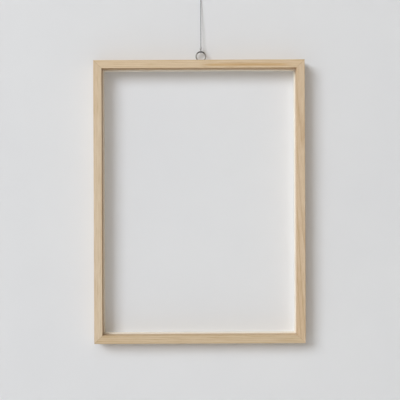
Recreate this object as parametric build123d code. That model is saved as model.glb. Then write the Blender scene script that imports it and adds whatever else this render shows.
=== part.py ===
from build123d import *

import math
import os

# Screen printing frame: four mitred timber rails with a rebate round the inner back edge,
# four slips that clamp a mesh in that rebate, and a screw eye on a twisted hanging wire.
# Millimetres. X runs along the top rail, Z is up, and the front faces -Y.
# The origin is the centre of the wire's upper loop, where a nail holds it.

# Overall size
FRAME_WIDTH = 380.0
FRAME_HEIGHT = 510.0

# Rails
RAIL_FACE = 15.0
RAIL_DEPTH = 30.0
RAIL_ARRIS = 0.4  # radius worn on the long edges

# Slips and the rebate that holds them
REBATE_WIDTH = 5.0
REBATE_DEPTH = 12.0
SLIP_LEDGE = 1.8  # how far a slip stands in past the rail's inner face
SLIP_ARRIS = 0.4
SLIP_GAP = 0.1  # room for the mesh between slip and rebate wall

# Triangular keys let in across the outer corners
KEY_LEG = 16.0
KEY_THICKNESS = 3.0
KEY_FROM_FRONT = 6.0

# Steel V-nails driven across each mitre from the back, one over the other, the last one flush
V_NAIL_LEG = 4.5
V_NAIL_THICKNESS = 0.5
V_NAIL_HEIGHT = 10.0
V_NAIL_INSET = 2.7  # from the outer faces to the nail's point
V_NAIL_STACK = 2
V_NAIL_STACK_GAP = 0.4

# Countersunk screws that hold the slips
SCREW_LENGTH = 24.0
SCREW_SHANK_RADIUS = 1.1
SCREW_HEAD_RADIUS = 2.0
SCREW_HEAD_HEIGHT = 1.2
SCREW_TIP = 2.5
SCREW_SET = 0.3  # head below the back face
SCREW_SLOT_WIDTH = 0.5
SCREW_SLOT_DEPTH = 0.6
SCREW_FROM_SHOULDER_EDGE = 2.1  # from the rail's inner face to the screw's axis
SCREW_CLEARANCE = 0.05
SCREW_END_DISTANCE = 32.0  # first screw from the rail's inner corner
SCREWS_ACROSS = 4
SCREWS_UPRIGHT = 5

# Screw eye in the top rail
EYE_OUTER_DIAMETER = 19.5
EYE_WIRE_DIAMETER = 2.4
EYE_SHANK_TIP = 2.0
EYE_TIP_COVER = 1.5  # wood left between the shank's tip and the rebate
EYE_SEAT_GAP = 0.05  # under the ring
EYE_FROM_BACK = 5.5
EYE_OFF_CENTRE = 3.6
EYE_SHANK_CLEARANCE = 0.05

# Hanging wire
WIRE_DIAMETER = 1.2
WIRE_DROP = 112.0  # from the nail down to the top of the ring
WIRE_LEAN = 7.5  # the nail is this far behind the ring
WIRE_ROUTE = [
    (0.0, -6.45, -108.3),  # the tail ends at the lower wrap
    (0.0, -5.15, -112.3),  # under the ring's top, from back to front
    (0.0, -6.5, -114.2),
    (0.0, -8.6, -114.2),
    (0.0, -10.0, -112.3),
    (0.0, -7.5, -107.6),  # the taut stretch
    (0.0, 0.0, -7.7),
    (-3.2, 0.0, 0.4),  # round the nail
    (-1.4, 0.0, 3.1),
    (1.4, 0.0, 3.1),
    (3.2, 0.0, 0.4),
    (1.05, 0.0, -7.0),  # the tail ends at the upper wrap
]
TAUT_LOWER = Vector(*WIRE_ROUTE[5])
TAUT_UPPER = Vector(*WIRE_ROUTE[6])
WRAP_RADIUS = 1.8
WRAP_LENGTH = 3.6
WRAP_ALONG = 1.3  # from an end of the taut stretch to the middle of its wrap

EYE_WIRE_RADIUS = EYE_WIRE_DIAMETER / 2
EYE_RING_RADIUS = EYE_OUTER_DIAMETER / 2 - EYE_WIRE_RADIUS
EYE_Y = -WIRE_LEAN
RING_TOP_Z = -WIRE_DROP
EYE_Z = RING_TOP_Z - EYE_RING_RADIUS

TOP_Z = EYE_Z - EYE_OUTER_DIAMETER / 2 - EYE_SEAT_GAP
BACK_Y = EYE_Y + EYE_FROM_BACK
FRONT_Y = BACK_Y - RAIL_DEPTH
CENTRE_X = -EYE_OFF_CENTRE
CENTRE_Z = TOP_Z - FRAME_HEIGHT / 2
SHOULDER_DEPTH = RAIL_DEPTH - REBATE_DEPTH
LAND_WIDTH = RAIL_FACE - REBATE_WIDTH
EYE_SHANK_LENGTH = LAND_WIDTH - EYE_TIP_COVER
SCREW_FROM_EDGE = RAIL_FACE - SCREW_FROM_SHOULDER_EDGE

# Each side of the frame: the direction inwards, and half its outer length
SIDES = {
    "top": (Vector(0, 0, -1), FRAME_WIDTH / 2),
    "bottom": (Vector(0, 0, 1), FRAME_WIDTH / 2),
    "left": (Vector(1, 0, 0), FRAME_HEIGHT / 2),
    "right": (Vector(-1, 0, 0), FRAME_HEIGHT / 2),
}
RAIL_NAMES = {
    "top": "top_rail",
    "bottom": "bottom_rail",
    "left": "left_stile",
    "right": "right_stile",
}
CORNERS = {
    "top_left": (-1, 1),
    "top_right": (1, 1),
    "bottom_left": (-1, -1),
    "bottom_right": (1, -1),
}


def edge_plane(side):
    """Plane across a side at its middle: x inwards from the outer face, y back from the front."""
    inwards, _ = SIDES[side]
    across = FRAME_WIDTH / 2 if inwards.X else FRAME_HEIGHT / 2
    origin = Vector(CENTRE_X, FRONT_Y, CENTRE_Z) - inwards * across
    return Plane(origin=origin, x_dir=inwards, z_dir=inwards.cross(Vector(0, 1, 0)))


def mitred_bar(side, profile, reach):
    """The profile carried along a side and mitred at 45 degrees from its outer corners."""
    half = SIDES[side][1]
    plane = edge_plane(side)
    bar = extrude(plane * profile, amount=half, both=True)
    outline = Polyline((0, -half), (0, half), (reach, half - reach), (reach, reach - half), close=True)
    face_plane = Plane(origin=plane.origin, x_dir=plane.x_dir, z_dir=-plane.y_dir)
    wedge = extrude(face_plane * make_face(outline), amount=-RAIL_DEPTH)
    return bar & wedge


def rounded(profile, places, radius):
    """The profile with the corners nearest to the given places rounded."""
    corners = [profile.vertices().sort_by_distance(place)[0] for place in places]
    return fillet(corners, radius)


def rail(side):
    """An L-shaped bar: full face at the front, with the rebate cut from its inner back edge."""
    outline = Polyline(
        (0, 0),
        (RAIL_FACE, 0),
        (RAIL_FACE, SHOULDER_DEPTH),
        (LAND_WIDTH, SHOULDER_DEPTH),
        (LAND_WIDTH, RAIL_DEPTH),
        (0, RAIL_DEPTH),
        close=True,
    )
    worn = [(0, 0), (RAIL_FACE, 0), (0, RAIL_DEPTH)]
    profile = rounded(make_face(outline), worn, RAIL_ARRIS)
    return mitred_bar(side, profile, RAIL_FACE)


def slip(side):
    """A thin bar that fills the rebate, flush at the back, and stands in past the rail."""
    outer = LAND_WIDTH + SLIP_GAP
    inner = RAIL_FACE + SLIP_LEDGE
    outline = Polyline(
        (outer, SHOULDER_DEPTH),
        (inner, SHOULDER_DEPTH),
        (inner, RAIL_DEPTH),
        (outer, RAIL_DEPTH),
        close=True,
    )
    worn = [(inner, SHOULDER_DEPTH), (inner, RAIL_DEPTH)]
    profile = rounded(make_face(outline), worn, SLIP_ARRIS)
    return mitred_bar(side, profile, inner)


def corner_plane(corner, depth):
    """Plane at an outer corner, at a depth from the front: x and y run inwards along the edges."""
    sign_x, sign_z = CORNERS[corner]
    x = CENTRE_X + sign_x * FRAME_WIDTH / 2
    z = CENTRE_Z + sign_z * FRAME_HEIGHT / 2
    x_dir = Vector(-sign_x, 0, 0)
    z_dir = x_dir.cross(Vector(0, 0, -sign_z))
    return Plane(origin=(x, FRONT_Y + depth, z), x_dir=x_dir, z_dir=z_dir)


def backwards(plane, distance):
    """The extrusion amount that goes that distance towards the back from the plane."""
    return distance if plane.z_dir.Y > 0 else -distance


def corner_key(corner):
    """A thin triangle, trimmed flush with both outer faces."""
    plane = corner_plane(corner, KEY_FROM_FRONT)
    outline = Polyline((0, 0), (KEY_LEG, 0), (0, KEY_LEG), close=True)
    return extrude(plane * make_face(outline), amount=backwards(plane, KEY_THICKNESS))


def v_nails(corner):
    """The corner's stack of V-nails, each an angle with one leg in each rail."""
    inner = V_NAIL_INSET + V_NAIL_THICKNESS
    tip = V_NAIL_INSET + V_NAIL_LEG
    outline = Polyline(
        (V_NAIL_INSET, V_NAIL_INSET),
        (tip, V_NAIL_INSET),
        (tip, inner),
        (inner, inner),
        (inner, tip),
        (V_NAIL_INSET, tip),
        close=True,
    )
    face = make_face(outline)
    nails = []
    for place in range(V_NAIL_STACK):
        below = place * (V_NAIL_HEIGHT + V_NAIL_STACK_GAP)
        plane = corner_plane(corner, RAIL_DEPTH - below - V_NAIL_HEIGHT)
        nails.append(extrude(plane * face, amount=backwards(plane, V_NAIL_HEIGHT)))
    return nails


def screw_places(side):
    """Evenly spaced screw centres along a side, measured from its middle."""
    count = SCREWS_UPRIGHT if SIDES[side][0].X else SCREWS_ACROSS
    first = SIDES[side][1] - RAIL_FACE - SCREW_END_DISTANCE
    return [first * (2 * number / (count - 1) - 1) for number in range(count)]


def on_screw_axes(side, turned):
    """Copies of a shape made along +Z, one on each screw axis of a side, pointing forwards."""
    plane = edge_plane(side)
    shapes = []
    for place in screw_places(side):
        centre = plane.from_local_coords((SCREW_FROM_EDGE, RAIL_DEPTH, place))
        axis_plane = Plane(origin=centre, x_dir=plane.z_dir, z_dir=(0, -1, 0))
        shapes.append(axis_plane * turned)
    return shapes


def turned_profile(points):
    """A solid of revolution about Z from (radius, height) points."""
    outline = Polyline(*[(radius, 0, height) for radius, height in points], close=True)
    return revolve(make_face(outline), axis=Axis.Z)


def slip_screw():
    """A slotted countersunk screw with its head at the origin, pointing along +Z."""
    under_head = SCREW_SET + SCREW_HEAD_HEIGHT
    body = turned_profile(
        [
            (0, SCREW_SET),
            (SCREW_HEAD_RADIUS, SCREW_SET),
            (SCREW_SHANK_RADIUS, under_head),
            (SCREW_SHANK_RADIUS, SCREW_LENGTH - SCREW_TIP),
            (0, SCREW_LENGTH),
        ]
    )
    slot = Box(3 * SCREW_HEAD_RADIUS, SCREW_SLOT_WIDTH, 2 * SCREW_SLOT_DEPTH)
    return body - Pos(0, 0, SCREW_SET) * slot


def screw_hole():
    """The countersunk hole for a slip screw, through the slip and on into the rail."""
    bore = SCREW_SHANK_RADIUS + SCREW_CLEARANCE
    sink = SCREW_HEAD_RADIUS + SCREW_CLEARANCE
    under_head = SCREW_SET + SCREW_HEAD_HEIGHT
    return turned_profile(
        [
            (0, 0),
            (sink, 0),
            (sink, SCREW_SET),
            (bore, under_head),
            (bore, SCREW_LENGTH - SCREW_TIP),
            (0, SCREW_LENGTH + SCREW_CLEARANCE),
        ]
    )


def eye_shank(radius, depth, tip):
    """The eye's pointed shank, from the middle of the ring's foot down into the rail."""
    foot = EYE_RING_RADIUS
    below = EYE_OUTER_DIAMETER / 2 + EYE_SEAT_GAP + depth
    return turned_profile([(0, -foot), (radius, -foot), (radius, tip - below), (0, -below)])


def screw_eye():
    """A closed ring on a shank, in one piece, with the ring facing the front."""
    ring = Rot(90, 0, 0) * Torus(EYE_RING_RADIUS, EYE_WIRE_RADIUS)
    shank = eye_shank(EYE_WIRE_RADIUS, EYE_SHANK_LENGTH, EYE_SHANK_TIP)
    return Pos(0, EYE_Y, EYE_Z) * (ring + shank)


def eye_hole():
    """The hole in the top rail for the eye's shank."""
    radius = EYE_WIRE_RADIUS + EYE_SHANK_CLEARANCE
    hole = eye_shank(radius, EYE_SHANK_LENGTH + EYE_SHANK_CLEARANCE, EYE_SHANK_TIP)
    return Pos(0, EYE_Y, EYE_Z) * hole


def hanging_wire():
    """A round wire along the route, with an arc at each corner as large as its runs allow."""
    points = [Vector(*point) for point in WIRE_ROUTE]
    radii = []
    for before, corner, after in zip(points, points[1:], points[2:]):
        run = min((corner - before).length, (after - corner).length)
        half_turn = (corner - before).get_angle(after - corner) / 2
        radii.append(0.45 * run / math.tan(math.radians(half_turn)))
    path = FilletPolyline(*points, radius=radii)
    print("wire radii", [round(radius, 2) for radius in radii])
    print("wire length", round(path.length, 1))
    section = Plane(origin=path @ 0, z_dir=path % 0) * Circle(WIRE_DIAMETER / 2)
    tube = sweep(section, path=path)
    print("wire volume", round(tube.volume, 2), "section times length", round(section.area * path.length, 2))
    return tube


def wire_wrap(end, other_end):
    """The outer shape of the turns that a tail takes round the taut wire."""
    along = (other_end - end).normalized()
    return Plane(origin=end + along * WRAP_ALONG, z_dir=along) * Cylinder(WRAP_RADIUS, WRAP_LENGTH)


def save(shape, node):
    """One STEP file for each node."""
    export_step(shape, f"parts/{node}.step")


os.makedirs("parts", exist_ok=True)

keys = {corner: corner_key(corner) for corner in CORNERS}
nails = {corner: v_nails(corner) for corner in CORNERS}
screws = {side: on_screw_axes(side, slip_screw()) for side in SIDES}
screw_holes = {side: on_screw_axes(side, screw_hole()) for side in SIDES}

for side, rail_name in RAIL_NAMES.items():
    corners = [corner for corner in CORNERS if side in corner]
    housed = [keys[corner] for corner in corners]
    housed += [nail for corner in corners for nail in nails[corner]]
    wood = rail(side) - housed - screw_holes[side]
    if side == "top":
        wood -= eye_hole()
    save(wood, rail_name)
    save(slip(side) - screw_holes[side], f"{side}_slip")
    save(Compound(children=screws[side]), f"{side}_slip_screws")

for corner in CORNERS:
    save(keys[corner], f"corner_key_{corner}")
    save(Compound(children=nails[corner]), f"v_nails_{corner}")

save(screw_eye(), "screw_eye")
save(hanging_wire(), "hanging_wire")
save(wire_wrap(TAUT_LOWER, TAUT_UPPER), "wire_wrap_lower")
save(wire_wrap(TAUT_UPPER, TAUT_LOWER), "wire_wrap_upper")
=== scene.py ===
import math

import bpy
import numpy as np
from mathutils import Matrix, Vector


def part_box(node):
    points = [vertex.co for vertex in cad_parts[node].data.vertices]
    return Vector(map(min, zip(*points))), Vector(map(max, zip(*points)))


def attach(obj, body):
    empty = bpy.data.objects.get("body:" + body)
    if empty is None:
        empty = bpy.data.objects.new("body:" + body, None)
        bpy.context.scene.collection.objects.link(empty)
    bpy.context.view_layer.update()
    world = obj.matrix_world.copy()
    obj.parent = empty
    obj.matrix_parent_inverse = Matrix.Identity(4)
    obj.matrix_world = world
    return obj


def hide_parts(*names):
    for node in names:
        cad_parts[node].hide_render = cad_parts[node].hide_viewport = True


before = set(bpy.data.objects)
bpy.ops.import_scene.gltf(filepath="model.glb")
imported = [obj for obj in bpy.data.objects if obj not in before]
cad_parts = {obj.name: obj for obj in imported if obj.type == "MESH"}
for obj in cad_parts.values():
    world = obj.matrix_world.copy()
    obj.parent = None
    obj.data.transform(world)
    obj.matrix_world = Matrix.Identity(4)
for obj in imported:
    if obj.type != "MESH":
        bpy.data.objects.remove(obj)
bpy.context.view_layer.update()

MM = 0.001

# The timber's outside, from the frame's own nodes
left_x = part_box("left_stile")[0].x
right_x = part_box("right_stile")[1].x
front_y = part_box("top_rail")[0].y
bottom_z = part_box("bottom_rail")[0].z
top_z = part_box("top_rail")[1].z
centre_x = (left_x + right_x) / 2
centre_z = (bottom_z + top_z) / 2
rail_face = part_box("left_stile")[1].x - left_x
shoulder_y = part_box("left_slip")[0].y
slip_depth = shoulder_y - front_y  # from the front face to the slips
ring_low, ring_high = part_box("screw_eye")


# ---------------------------------------------------------------- camera
LENS_MM = 75.0
SENSOR_MM = 36.0
VIEW_SIZE = 0.7184  # side of the square view at the frame's front face
CAMERA_RIGHT = 1.0 * MM  # of the frame's centre
CAMERA_UP = 2.9 * MM
CAMERA_ROLL = math.radians(-0.23)

camera_data = bpy.data.cameras.new("camera")
camera_data.lens = LENS_MM
camera_data.sensor_width = SENSOR_MM
camera = bpy.data.objects.new("camera", camera_data)
bpy.context.scene.collection.objects.link(camera)
camera_y = front_y - VIEW_SIZE * LENS_MM / SENSOR_MM
camera.matrix_world = (
    Matrix.Translation((centre_x + CAMERA_RIGHT, camera_y, centre_z + CAMERA_UP))
    @ Matrix.Rotation(math.pi / 2, 4, "X")
    @ Matrix.Rotation(CAMERA_ROLL, 4, "Z")
)
bpy.context.scene.camera = camera


# ---------------------------------------------------------------- surfaces
def add_piece(name, data, material):
    """A new piece at the origin that wears one material."""
    data.materials.append(material)
    piece = bpy.data.objects.new(name, data)
    bpy.context.scene.collection.objects.link(piece)
    return piece


def skin_round_path(name, centre, across, radius, material):
    """A closed skin round a path. Ring i is the path point i, plus the radius times the cosine of
    the angle along across[i], plus the radius times its sine along (path direction x across[i]).
    A point in the middle closes each end. The radius may change along the path and round it."""
    sides = radius.shape[1]
    rings = len(centre)
    ahead = np.gradient(centre, axis=0)
    ahead /= np.linalg.norm(ahead, axis=1, keepdims=True)
    up = np.cross(ahead, across)
    angle = np.arange(sides) * (2 * np.pi / sides)
    spoke = np.cos(angle)[None, :, None] * across[:, None] + np.sin(angle)[None, :, None] * up[:, None]
    skin = centre[:, None] + radius[..., None] * spoke
    points = np.concatenate([skin.reshape(-1, 3), centre[[0, -1]]])
    here = np.arange(sides)
    beside = (here + 1) % sides
    row = np.arange(rings - 1)[:, None] * sides
    quads = np.stack([row + here, row + beside, row + sides + beside, row + sides + here], axis=-1)
    first, last = rings * sides, rings * sides + 1
    far = (rings - 1) * sides
    near_end = np.stack([np.full(sides, first), beside, here], axis=-1)
    far_end = np.stack([np.full(sides, last), far + here, far + beside], axis=-1)
    mesh = bpy.data.meshes.new(name)
    faces = quads.reshape(-1, 4).tolist() + near_end.tolist() + far_end.tolist()
    mesh.from_pydata(points.tolist(), [], faces)
    mesh.polygons.foreach_set("use_smooth", np.ones(len(faces), dtype=bool))
    mesh.update()
    return add_piece(name, mesh, material)


END_FULLNESS = 0.97  # under 1, so that a rod's last ring keeps a small radius


def rounded_off(travel, length, radius):
    """The radius along a rod whose two ends are half round: at a distance d from an end, nearer
    than the radius r, it is the square root of r squared less (fullness times (r - d)) squared."""
    short = np.clip(radius - np.minimum(travel, length - travel), 0, radius)
    return np.sqrt(radius**2 - (END_FULLNESS * short) ** 2)


# ---------------------------------------------------------------- materials
def linear(red, green, blue):
    """A colour in display values from 0 to 255 as the linear values that a shader takes."""
    parts = np.array([red, green, blue]) / 255
    low, high = parts / 12.92, ((parts + 0.055) / 1.055) ** 2.4
    return (*np.where(parts <= 0.04045, low, high).tolist(), 1.0)


class Finish:
    """A new material, with short ways to add its nodes and join them."""

    def __init__(self, name):
        self.material = bpy.data.materials.new(name)
        self.material.use_nodes = True
        self.tree = self.material.node_tree
        self.tree.nodes.clear()
        self.output = self.tree.nodes.new("ShaderNodeOutputMaterial")

    def put(self, socket, value):
        """Joins a node's output to a socket, or sets the socket's value."""
        if isinstance(value, bpy.types.NodeSocket):
            self.tree.links.new(value, socket)
        else:
            socket.default_value = value

    def add(self, kind, inputs, result=0, **settings):
        """Adds a node and returns one of its outputs."""
        node = self.tree.nodes.new("ShaderNode" + kind)
        for key, value in settings.items():
            setattr(node, key, value)
        for key, value in inputs.items():
            self.put(node.inputs[key], value)
        return node.outputs[result]

    def place(self, **mapping):
        """The point on the piece, in metres, put through a Mapping node where one is asked for."""
        point = self.add("TexCoord", {}, "Object")
        return self.add("Mapping", {0: point, **mapping}) if mapping else point

    def math(self, operation, a, b=0.0):
        return self.add("Math", {0: a, 1: b}, operation=operation)

    def noise(self, point, scale, detail=3.0, roughness=0.5):
        return self.add("TexNoise", {0: point, "Scale": scale, "Detail": detail, "Roughness": roughness})

    def between(self, value, low, high, out_low=0.0, out_high=1.0):
        """The value carried smoothly from one range to another, and held at its ends."""
        inputs = {0: value, 1: low, 2: high, 3: out_low, 4: out_high}
        return self.add("MapRange", inputs, interpolation_type="SMOOTHSTEP")

    def ramp(self, value, stops):
        """A colour ramp through pairs of position and colour."""
        output = self.add("ValToRGB", {0: value})
        elements = output.node.color_ramp.elements
        while len(elements) < len(stops):
            elements.new(0.5)
        for element, (position, colour) in zip(elements, stops):
            element.position = position
            element.color = colour
        return output

    def blend(self, amount, a, b, kind="MIX"):
        return self.add("Mix", {0: amount, 6: a, 7: b}, 2, data_type="RGBA", blend_type=kind)

    def tint(self, amount, colour, shade):
        """The colour multiplied by a shade, as far as the amount says."""
        return self.blend(amount, colour, shade, "MULTIPLY")

    def bump(self, height, distance, strength=1.0):
        return self.add("Bump", {"Height": height, "Distance": distance, "Strength": strength})

    def surface(self, inputs):
        """Ends the material with a Principled shader and returns it."""
        self.put(self.output.inputs[0], self.add("BsdfPrincipled", inputs))
        return self.material


# Each shade multiplies the colour under it
CLOUD_SHADE = (0.93, 0.87, 0.77, 1.0)
STREAK_SHADE = (0.88, 0.76, 0.58, 1.0)
FIBRE_SHADE = (0.84, 0.79, 0.70, 1.0)
# painted shade in the corner where a rail's inner face meets the slip
PAINTED_CORNER_SHADE = (0.72, 0.62, 0.50, 1.0)
# painted shade on the rails' inner faces, strongest on the left and top, which are turned from the light
INNER_FACE_PAINTED_SHADE = (0.68, 0.60, 0.53, 1.0)
HANDLED_SHADE = (0.93, 0.90, 0.85, 1.0)
GLUE_SHADE = (0.60, 0.50, 0.38, 1.0)
# painted dark reflection on the ring's top
PAINTED_REFLECTION_SHADE = (0.26, 0.25, 0.24, 1.0)

# How often a pattern repeats in a metre of wood: along the grain, and across it two ways
SWAY_STRETCH = (2.2, 14, 14)
CLOUD_STRETCH = (5, 60, 60)
FIBRE_STRETCH = (14, 900, 900)
PORE_STRETCH = (60, 2400, 2400)
# The same along X, Y and Z
STREAK_STRETCH = (9, 1, 1)
WORN_PATCHES = (40, 40, 40)
SCRATCH_STRETCH = (6, 6, 1)

RING_WAVER = 4 * MM
SLIP_RING_WAVER = 3 * MM
STREAK_FADE = 0.03  # over this length a streak fades in and out
STREAK_WAVER = 3 * MM
WORN_WAVER = 3.2 * MM
WORN_EDGE = (0.2 * MM, -1.2 * MM)  # from the wavering edge, where the wear begins and is full
GLUE_EDGE = (0.45 * MM, 0.1 * MM)  # from the mitre, where the line begins and is full
INNER_FACE = (-0.5 * MM, -0.2 * MM)  # from the rail's inner face, where its finish begins and is full
# depth before the slips over which the painted corner shade grows
PAINTED_CORNER_DEPTH = 5 * MM
INNER_SHADE_EDGE = (4 * MM, 8 * MM)  # before the slips, where the painted shade on the inner face fades to its least and is full
PAINTED_REFLECTION_EDGE = (6.0 * MM, 2.4 * MM)  # below the ring's top, where the painted dark reflection begins and is full
GRAIN_HEIGHT = 0.10 * MM
SLIP_GRAIN_HEIGHT = 0.08 * MM
SCRATCH_HEIGHT = 0.03 * MM
WOOD_IOR = 1.45


def grain(finish, turn, heart, ring_gap, waver):
    """Growth rings round a heart line, and fibres along it. Turn brings the heart line to X, and
    heart is its offset. A ring's number is the distance from that line, made uneven by slow noise,
    over the gap between rings. Returns the ring's phase from 0 to 1, the fibres and the turned point."""
    turned = finish.place(Rotation=turn, Location=heart)
    sway = finish.noise(finish.add("Mapping", {0: turned, "Scale": SWAY_STRETCH}), 1.0, 2.0)
    x, y, z = (finish.add("SeparateXYZ", {0: turned}, axis) for axis in "XYZ")
    square = finish.math("ADD", finish.math("MULTIPLY", y, y), finish.math("MULTIPLY", z, z))
    reach = finish.math("ADD", finish.math("SQRT", square), finish.math("MULTIPLY", sway, waver))
    phase = finish.math("FRACT", finish.math("DIVIDE", reach, ring_gap))
    fibres = finish.noise(finish.add("Mapping", {0: turned, "Scale": FIBRE_STRETCH}), 2.2, 5.0, 0.62)
    return phase, fibres, turned


def timber(name, side, turn, heart, ring_gap, early, late, inner_shade_amount, streak=None):
    """Planed softwood for one side of the frame: rings and fibres along the piece, uneven colour,
    a dark line at each mitre, worn and handled front edges, painted shade in the corner where the
    inner face meets the slip, and painted shade on that face, strongest on the sides turned from
    the light. A streak is a darker band between two places along X and two heights from the top rail's
    top."""
    finish = Finish(name)
    phase, fibres, turned = grain(finish, turn, heart, ring_gap, RING_WAVER)
    pale, dark = linear(*early), linear(*late)
    colour = finish.ramp(phase, [(0.0, pale), (0.55, pale), (0.9, dark), (1.0, pale)])
    cloud = finish.noise(finish.add("Mapping", {0: turned, "Scale": CLOUD_STRETCH}), 1.0, 3.0)
    colour = finish.tint(finish.between(cloud, 0.42, 0.68, 0.0, 0.55), colour, CLOUD_SHADE)
    colour = finish.tint(finish.between(fibres, 0.56, 0.36), colour, FIBRE_SHADE)
    pores = finish.noise(finish.add("Mapping", {0: turned, "Scale": PORE_STRETCH}), 1.6, 2.0)
    colour = finish.tint(finish.between(pores, 0.34, 0.24, 0.0, 0.6), colour, FIBRE_SHADE)

    point = finish.place()
    x, y, z = (finish.add("SeparateXYZ", {0: point}, axis) for axis in "XYZ")
    if streak:
        start, end, low, high = streak
        fade_in = finish.between(x, start, start + STREAK_FADE)
        fade_out = finish.between(x, end, end - STREAK_FADE)
        along = finish.math("MULTIPLY", fade_in, fade_out)
        wander = finish.noise(finish.place(Scale=STREAK_STRETCH), 1.0)
        wander = finish.math("MULTIPLY", wander, STREAK_WAVER)
        level = finish.math("SUBTRACT", finish.math("ADD", z, wander), top_z)
        middle = (low + high) / 2
        lower_half = finish.between(level, low, middle)
        upper_half = finish.between(level, high, middle)
        band = finish.math("MULTIPLY", lower_half, upper_half)
        colour = finish.tint(finish.math("MULTIPLY", along, band), colour, STREAK_SHADE)

    deep = finish.math("SUBTRACT", y, front_y)
    spans = {"left": (x, left_x), "right": (right_x, x), "bottom": (z, bottom_z), "top": (top_z, z)}
    inward = finish.math("SUBTRACT", *spans[side])
    ends = ("bottom", "top") if side in ("left", "right") else ("left", "right")
    from_end = finish.math("MINIMUM", *(finish.math("SUBTRACT", *spans[end]) for end in ends))
    off_mitre = finish.math("ABSOLUTE", finish.math("SUBTRACT", inward, from_end))
    glue = finish.between(off_mitre, *GLUE_EDGE, 0.0, 0.9)
    colour = finish.tint(glue, colour, GLUE_SHADE)

    outer = finish.math("MAXIMUM", inward, deep)
    inner = finish.math("MAXIMUM", finish.math("SUBTRACT", rail_face, inward), deep)
    from_arris = finish.math("MINIMUM", outer, inner)
    patches = finish.noise(finish.place(Scale=WORN_PATCHES), 1.0, 4.0)
    reach = finish.math("MULTIPLY", patches, WORN_WAVER)
    beyond = finish.math("SUBTRACT", from_arris, reach)
    worn = finish.between(beyond, *WORN_EDGE)
    colour = finish.tint(finish.math("MULTIPLY", worn, 0.8), colour, HANDLED_SHADE)

    inside = finish.between(finish.math("SUBTRACT", inward, rail_face), *INNER_FACE)
    # painted shade: darker within a few millimetres of the slip, in the corner of the recess
    corner = finish.between(deep, slip_depth - PAINTED_CORNER_DEPTH, slip_depth)
    painted_corner_mask = finish.math("MULTIPLY", inside, corner)
    colour = finish.tint(finish.math("MULTIPLY", painted_corner_mask, 0.25), colour, PAINTED_CORNER_SHADE)
    # painted shade on the inner face; its amount per side comes from RAILS: full on the left and top,
    # slight on the right and bottom
    shade_least, shade_full = INNER_SHADE_EDGE
    inner_face_shade = finish.between(deep, slip_depth - shade_least, slip_depth - shade_full, 0.3, inner_shade_amount)
    colour = finish.tint(finish.math("MULTIPLY", inside, inner_face_shade), colour, INNER_FACE_PAINTED_SHADE)

    relief = finish.math("ADD", finish.math("MULTIPLY", phase, 0.35), fibres)
    rough = finish.between(fibres, 0.3, 0.7, 0.68, 0.54)
    rough = finish.math("SUBTRACT", rough, finish.math("MULTIPLY", worn, 0.12))
    bumps = finish.bump(relief, GRAIN_HEIGHT, 0.55)
    return finish.surface({"Base Color": colour, "Roughness": rough, "Normal": bumps, "IOR": WOOD_IOR})


def plain_wood(name, turn, heart, ring_gap, early, late, roughness=0.6):
    """Planed wood for the slips and keys: rings and fibres along the piece."""
    finish = Finish(name)
    phase, fibres, turned = grain(finish, turn, heart, ring_gap, SLIP_RING_WAVER)
    pale, dark = linear(*early), linear(*late)
    colour = finish.ramp(phase, [(0.0, pale), (0.5, pale), (0.88, dark), (1.0, pale)])
    colour = finish.tint(finish.between(fibres, 0.56, 0.36, 0.0, 0.8), colour, FIBRE_SHADE)
    rough = finish.between(fibres, 0.3, 0.7, roughness + 0.08, roughness - 0.08)
    bumps = finish.bump(fibres, SLIP_GRAIN_HEIGHT, 0.5)
    return finish.surface({"Base Color": colour, "Roughness": rough, "Normal": bumps, "IOR": WOOD_IOR})


def metal(name, bright, dull, rough, mottle, scratch, shine=1.0, painted_reflection=False):
    """Metal that has dulled unevenly: two colours and a roughness that follow cloudy noise, with
    fine scratches along Z as bump. The ring can also carry a painted dark reflection that darkens it
    towards its top, under the hanging wire."""
    finish = Finish(name)
    cloud = finish.noise(finish.place(), mottle, 4.0, 0.6)
    colour = finish.ramp(cloud, [(0.35, linear(*bright)), (0.65, linear(*dull))])
    if painted_reflection:
        # painted dark reflection: darker towards the ring's top
        height = finish.add("SeparateXYZ", {0: finish.place()}, "Z")
        starts, full = PAINTED_REFLECTION_EDGE
        reflection_mask = finish.between(height, ring_high.z - starts, ring_high.z - full)
        colour = finish.tint(reflection_mask, colour, PAINTED_REFLECTION_SHADE)
    lines = finish.noise(finish.place(Scale=SCRATCH_STRETCH), scratch, 3.0, 0.7)
    return finish.surface(
        {
            "Base Color": colour,
            "Metallic": shine,
            "Roughness": finish.between(cloud, 0.3, 0.7, rough - 0.07, rough + 0.1),
            "Normal": finish.bump(lines, SCRATCH_HEIGHT, 0.5),
        }
    )


def give(node, material):
    """The CAD node wears only this material."""
    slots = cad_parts[node].data.materials
    slots.clear()
    slots.append(material)


galvanised = metal("galvanised_wire", (150, 151, 153), (104, 105, 108), 0.45, 900.0, 1500.0)
# The coils' copy of the galvanised wire is painted lighter, to offset the shade each coil casts on itself.
galvanised_painted_lighter = metal("bent_galvanised_wire", (212, 212, 214), (184, 185, 187), 0.55, 900.0, 1500.0, 0.6)
# the ring wears a painted dark reflection towards its top
eye_plating = metal("dulled_nickel", (172, 170, 165), (128, 125, 120), 0.3, 500.0, 1200.0, painted_reflection=True)
screw_brass = metal("screw_brass", (196, 164, 100), (142, 112, 66), 0.38, 600.0, 1500.0)
nail_strip = metal("nail_strip", (122, 123, 127), (84, 82, 82), 0.46, 700.0, 1800.0)


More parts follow.
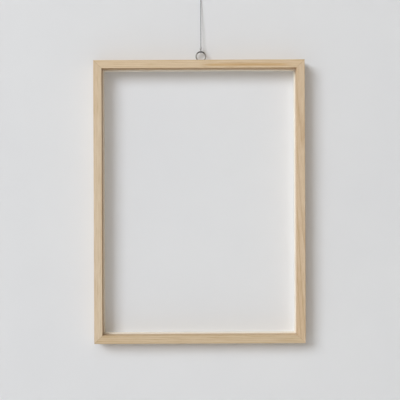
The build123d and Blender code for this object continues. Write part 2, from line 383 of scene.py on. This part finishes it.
# ---------------------------------------------------------------- hanging wire
WIRE_DIAMETER = 1.2 * MM
WIRE_ROUTE = [
    (0.0, -0.00645, -0.1083),
    (0.0, -0.00515, -0.1123),
    (0.0, -0.0065, -0.1142),
    (0.0, -0.0086, -0.1142),
    (0.0, -0.0100, -0.1123),
    (0.0, -0.0075, -0.1076),
    (0.0, -0.00696, -0.1004),
    (0.0, -0.00054, -0.0149),
    (0.0, 0.0, -0.0077),
    (-0.0032, 0.0, 0.0004),
    (-0.0014, 0.0, 0.0031),
    (0.0014, 0.0, 0.0031),
    (0.0032, 0.0, 0.0004),
    (0.00105, 0.0, -0.0070),
]
TAUT_LOWER = np.array(WIRE_ROUTE[5])  # the two ends of the taut stretch
TAUT_UPPER = np.array(WIRE_ROUTE[8])
WIRE_STEPS = 14  # between two points of the route
WIRE_ROUNDNESS = 6


def drawn_wire(name, route, diameter, material):
    """A round wire on a quadratic spline, with the route as its control points."""
    curve = bpy.data.curves.new(name, "CURVE")
    curve.dimensions = "3D"
    spline = curve.splines.new("NURBS")
    spline.points.add(len(route) - 1)
    for point, place in zip(spline.points, route):
        point.co = (*place, 1.0)
    spline.order_u = 3
    spline.use_endpoint_u = True
    curve.resolution_u = WIRE_STEPS
    curve.bevel_depth = diameter / 2
    curve.bevel_resolution = WIRE_ROUNDNESS
    curve.use_fill_caps = True
    return add_piece(name, curve, material)


WRAP_TURNS = 3.0
WRAP_PITCH = 1.22 * MM
WRAP_STARTS = 0.25 * MM  # before the end of the taut stretch
WRAP_RINGS = 110
WRAP_SIDES = 14


def wound_tail(name, end, other_end, tail, node):
    """The turns of a tail round the taut wire. The line is a helix: it goes round the wire's axis
    at one wire diameter from it, starts on the tail's side and climbs one pitch a turn."""
    along = (other_end - end) / np.linalg.norm(other_end - end)
    side = tail - end
    side = side - along * side.dot(along)
    side /= np.linalg.norm(side)
    cross = np.cross(along, side)
    travel = np.linspace(0, 1, WRAP_RINGS)
    angle = 2 * np.pi * WRAP_TURNS * travel
    radial = np.cos(angle)[:, None] * side + np.sin(angle)[:, None] * cross
    climb = (travel * WRAP_TURNS * WRAP_PITCH - WRAP_STARTS)[:, None] * along
    centre = end + climb + WIRE_DIAMETER * radial
    length = 2 * np.pi * WRAP_TURNS * WIRE_DIAMETER
    radius = rounded_off(travel * length, length, WIRE_DIAMETER / 2)
    radius = np.repeat(radius[:, None], WRAP_SIDES, axis=1)
    coil = skin_round_path(name, centre, radial, radius, galvanised_painted_lighter)
    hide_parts(node)
    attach(coil, "wire")
    return coil


wire = drawn_wire("wire", WIRE_ROUTE, WIRE_DIAMETER, galvanised)
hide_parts("hanging_wire")
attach(wire, "wire")
lower_tail, upper_tail = np.array(WIRE_ROUTE[0]), np.array(WIRE_ROUTE[-1])
lower_coil = wound_tail("lower_coil", TAUT_LOWER, TAUT_UPPER, lower_tail, "wire_wrap_lower")
upper_coil = wound_tail("upper_coil", TAUT_UPPER, TAUT_LOWER, upper_tail, "wire_wrap_upper")
EYE_ROD_RADIUS = 1.2 * MM
eye_x = (ring_low.x + ring_high.x) / 2
eye_y = (ring_low.y + ring_high.y) / 2


# ---------------------------------------------------------------- screw eye
THREAD_CORE = 0.9 * MM  # radius at the thread's root
THREAD_PITCH = 1.1 * MM
THREAD_LENGTH = 7.0 * MM
TIP_LENGTH = 2.0 * MM
TIP_BLUNT = 0.04  # of the full radius
END_LENGTH = 0.5 * MM  # over which the ring's cut end is rounded
NECK_BEND = 1.6 * MM
JOINT_ANGLE = math.radians(-448)  # where the ring's end meets the neck
SHANK_STEP = 0.06 * MM
BEND_STEPS = 18
RING_STEPS = 200
ROD_SIDES = 32
eye_ring = (ring_high.x - ring_low.x) / 2 - EYE_ROD_RADIUS
eye_z = ring_high.z - EYE_ROD_RADIUS - eye_ring


def screw_eye():
    """One rod: a threaded shank on the centre line, a neck bend that touches the ring's circle from
    below, and the ring. The bend's centre is one bend radius to the left, so far down that it is
    ring radius plus bend radius from the ring's centre. On the shank the rod's radius goes up and
    down between core and full as a triangle wave of (length / pitch - part of a turn). It grows
    evenly from the tip. At the ring's cut end, where the part e of the end length is passed, it is
    multiplied by the square root of (1 - e squared / 2)."""
    bend_z = -math.sqrt(eye_ring**2 + 2 * eye_ring * NECK_BEND)
    tip_z = ring_low.z - eye_z
    shank = np.arange(tip_z, bend_z, SHANK_STEP)
    meet = math.atan2(bend_z, -NECK_BEND)
    turn = np.linspace(0, meet + math.pi, BEND_STEPS)[1:]
    loop = np.linspace(meet, JOINT_ANGLE, RING_STEPS)
    x = np.concatenate([0 * shank, NECK_BEND * (np.cos(turn) - 1), eye_ring * np.cos(loop)])
    z = np.concatenate([shank, bend_z + NECK_BEND * np.sin(turn), eye_ring * np.sin(loop)])
    centre = np.stack([eye_x + x, eye_y + 0 * x, eye_z + z], axis=1)
    across = np.tile([0.0, 1.0, 0.0], (len(centre), 1))
    travel = np.concatenate([[0], np.cumsum(np.linalg.norm(np.diff(centre, axis=0), axis=1))])
    part_turn = np.arange(ROD_SIDES) / ROD_SIDES
    wave = np.abs(((travel[:, None] / THREAD_PITCH - part_turn) % 1) * 2 - 1)
    threaded = travel < THREAD_LENGTH
    radius = np.full((len(travel), ROD_SIDES), EYE_ROD_RADIUS)
    radius[threaded] = THREAD_CORE + (EYE_ROD_RADIUS - THREAD_CORE) * wave[threaded]
    radius *= np.clip(travel / TIP_LENGTH, TIP_BLUNT, 1)[:, None]
    into_end = 1 - np.clip((travel[-1] - travel) / END_LENGTH, 0, 1)
    radius *= np.sqrt(1 - into_end**2 / 2)[:, None]
    return skin_round_path("bent_eye", centre, across, radius, eye_plating)


eye = screw_eye()
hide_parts("screw_eye")
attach(eye, "frame")


# ---------------------------------------------------------------- timber
LEVEL = (0.0, 0.0, 0.0)
UPRIGHT = (0.0, math.pi / 2, 0.0)
LEANING = (0.0, math.pi / 2 + math.radians(1.6), math.radians(1.1))
SLIP_EARLY = (249, 243, 232)
SLIP_LATE = (240, 231, 213)
SLIP_RING_GAP = 2.0 * MM
KEY_EARLY = (186, 146, 104)
KEY_LATE = (156, 114, 76)
KEY_RING_GAP = 1.6 * MM
KEY_ROUGHNESS = 0.55
TOP_STREAK = (-0.005, 0.17, -0.0115, -0.0035)  # from X to X, and between two heights from the top

# node: side, grain's turn, heart's offset, gap between rings, early and late wood, amount of painted shade
# on the inner face, streak
RAILS = {
    "top_rail": ("top", LEVEL, (0.1, 0.075, 0.21), 2.6 * MM,
                 (226, 203, 171), (209, 180, 142), 1.0, TOP_STREAK),
    "bottom_rail": ("bottom", LEVEL, (0.4, 0.06, 0.70), 2.9 * MM,
                    (218, 196, 164), (201, 174, 137), 0.3),
    "left_stile": ("left", UPRIGHT, (0.2, 0.075, -0.26), 2.4 * MM,
                   (226, 206, 179), (210, 186, 154), 1.0),
    "right_stile": ("right", LEANING, (0.3, 0.018, 0.175), 3.2 * MM,
                    (222, 198, 168), (208, 181, 148), 0.2),
}
for node, facts in RAILS.items():
    give(node, timber(f"{node}_timber", *facts))
for number, side in enumerate(["top", "bottom", "left", "right"]):
    turn = LEVEL if side in ("top", "bottom") else UPRIGHT
    heart = (0.3 * number, 0.05 + 0.01 * number, 0.31)
    wood = plain_wood(f"{side}_slip_wood", turn, heart, SLIP_RING_GAP, SLIP_EARLY, SLIP_LATE)
    give(f"{side}_slip", wood)
    give(f"{side}_slip_screws", screw_brass)
for number, corner in enumerate(["top_left", "top_right", "bottom_left", "bottom_right"]):
    lean = math.radians(45 if corner in ("top_right", "bottom_left") else -45)
    heart = (0.2 * number, 0.04, 0.5)
    turn = (0.0, lean, 0.0)
    wood = plain_wood(f"key_wood_{corner}", turn, heart, KEY_RING_GAP, KEY_EARLY, KEY_LATE, KEY_ROUGHNESS)
    give(f"corner_key_{corner}", wood)
    give(f"v_nails_{corner}", nail_strip)


# ---------------------------------------------------------------- floor, wall and light
WALL_Y = 1.6 * MM  # at the height of the nail
WALL_LEAN = 0.0048  # how far it comes forward in each metre down, so that the frame's top stands off
FLOOR_DROP = 0.9  # the floor is this far under the frame
PAINT = (233, 233, 233)
PAINT_SHADE = (229, 229, 230)
PAINT_CLOUDS = 2.5
STIPPLE = 260.0
STIPPLE_HEIGHT = 0.1 * MM
ROOM = 6.0  # from its middle to each side
WALL_TOP = 2.0


def stage_plane(name, corners, material):
    """A flat four-cornered piece of the stage."""
    mesh = bpy.data.meshes.new(name)
    mesh.from_pydata(corners, [], [(0, 1, 2, 3)])
    piece = add_piece(name, mesh, material)
    return piece


def matt_paint(name, one_sided):
    """Matt pale paint. One-sided paint is clear from behind, so that the frame's back can be seen."""
    finish = Finish(name)
    cloud = finish.noise(finish.place(), PAINT_CLOUDS, 4.0, 0.6)
    colour = finish.ramp(cloud, [(0.3, linear(*PAINT)), (0.7, linear(*PAINT_SHADE))])
    stipple = finish.bump(finish.noise(finish.place(), STIPPLE), STIPPLE_HEIGHT, 0.4)
    paint = finish.add("BsdfDiffuse", {"Color": colour, "Normal": stipple})
    if one_sided:
        behind = finish.add("NewGeometry", {}, "Backfacing")
        paint = finish.add("MixShader", {0: behind, 1: paint, 2: finish.add("BsdfTransparent", {})})
    finish.put(finish.output.inputs[0], paint)
    return finish.material


floor_z = bottom_z - FLOOR_DROP
wall_foot = WALL_Y + WALL_LEAN * floor_z
wall_head = WALL_Y + WALL_LEAN * WALL_TOP
wall_corners = [
    (-ROOM, wall_foot, floor_z),
    (ROOM, wall_foot, floor_z),
    (ROOM, wall_head, WALL_TOP),
    (-ROOM, wall_head, WALL_TOP),
]
wall = stage_plane("wall", wall_corners, matt_paint("wall_paint", True))
wall.visible_shadow = False  # light from behind reaches the frame's back
floor_corners = [
    (-ROOM, -ROOM, floor_z),
    (ROOM, -ROOM, floor_z),
    (ROOM, ROOM, floor_z),
    (-ROOM, ROOM, floor_z),
]
stage_plane("floor", floor_corners, matt_paint("floor_paint", False))


def softbox(name, offset, size, watts, colour):
    """A square soft light that faces the frame's centre from an offset."""
    data = bpy.data.lights.new(name, "AREA")
    data.size = size
    data.energy = watts
    data.color = colour
    light = bpy.data.objects.new(name, data)
    bpy.context.scene.collection.objects.link(light)
    target = np.array([centre_x, WALL_Y, centre_z])
    away = np.array(offset) / np.linalg.norm(offset)
    right = np.cross([0, 0, 1], away)
    right /= np.linalg.norm(right)
    stand = np.eye(4)
    stand[:3, :3] = np.stack([right, np.cross(away, right), away], axis=1)
    stand[:3, 3] = target + np.array(offset)
    light.matrix_world = Matrix(stand.tolist())


COOL = (1.0, 1.07, 1.155)
NEUTRAL = (1.0, 1.0, 1.0)
softbox("key_light", (-11.0, -13.2, 7.2), 8.2, 1720.0, COOL)
softbox("high_light", (-0.5, -2.9, 1.6), 2.4, 22.0, COOL)
softbox("back_light", (-1.6, 2.4, 1.4), 1.6, 26.0, NEUTRAL)

ROOM_IN_FRONT = (0.25, 0.207, 0.150, 1.0)
ROOM_BEHIND = (0.34, 0.31, 0.27, 1.0)
BACKDROP = (0.60, 0.60, 0.59, 1.0)
SIDES_BLEND = 0.1  # the two colours blend over this much of a direction's Y, to each side of 0


def room_light():
    """Even light from all round: one colour from in front of the wall, another from behind it. Where
    the room itself is in view it has the plain backdrop's colour."""
    world = bpy.data.worlds.new("room")
    world.use_nodes = True
    tree = world.node_tree
    towards = tree.nodes.new("ShaderNodeTexCoord").outputs["Generated"]
    split = tree.nodes.new("ShaderNodeSeparateXYZ")
    blend = tree.nodes.new("ShaderNodeMix")
    blend.data_type = "RGBA"
    carry = tree.nodes.new("ShaderNodeMapRange")
    carry.inputs[1].default_value = -SIDES_BLEND
    carry.inputs[2].default_value = SIDES_BLEND
    tree.links.new(towards, split.inputs[0])
    tree.links.new(split.outputs["Y"], carry.inputs[0])
    tree.links.new(carry.outputs[0], blend.inputs[0])
    blend.inputs[6].default_value = ROOM_IN_FRONT
    blend.inputs[7].default_value = ROOM_BEHIND
    seen = tree.nodes.new("ShaderNodeMix")
    seen.data_type = "RGBA"
    seen.inputs[7].default_value = BACKDROP
    tree.links.new(tree.nodes.new("ShaderNodeLightPath").outputs["Is Camera Ray"], seen.inputs[0])
    tree.links.new(blend.outputs[2], seen.inputs[6])
    tree.links.new(seen.outputs[2], tree.nodes["Background"].inputs[0])
    bpy.context.scene.world = world


room_light()
bpy.context.scene.view_settings.view_transform = "Standard"
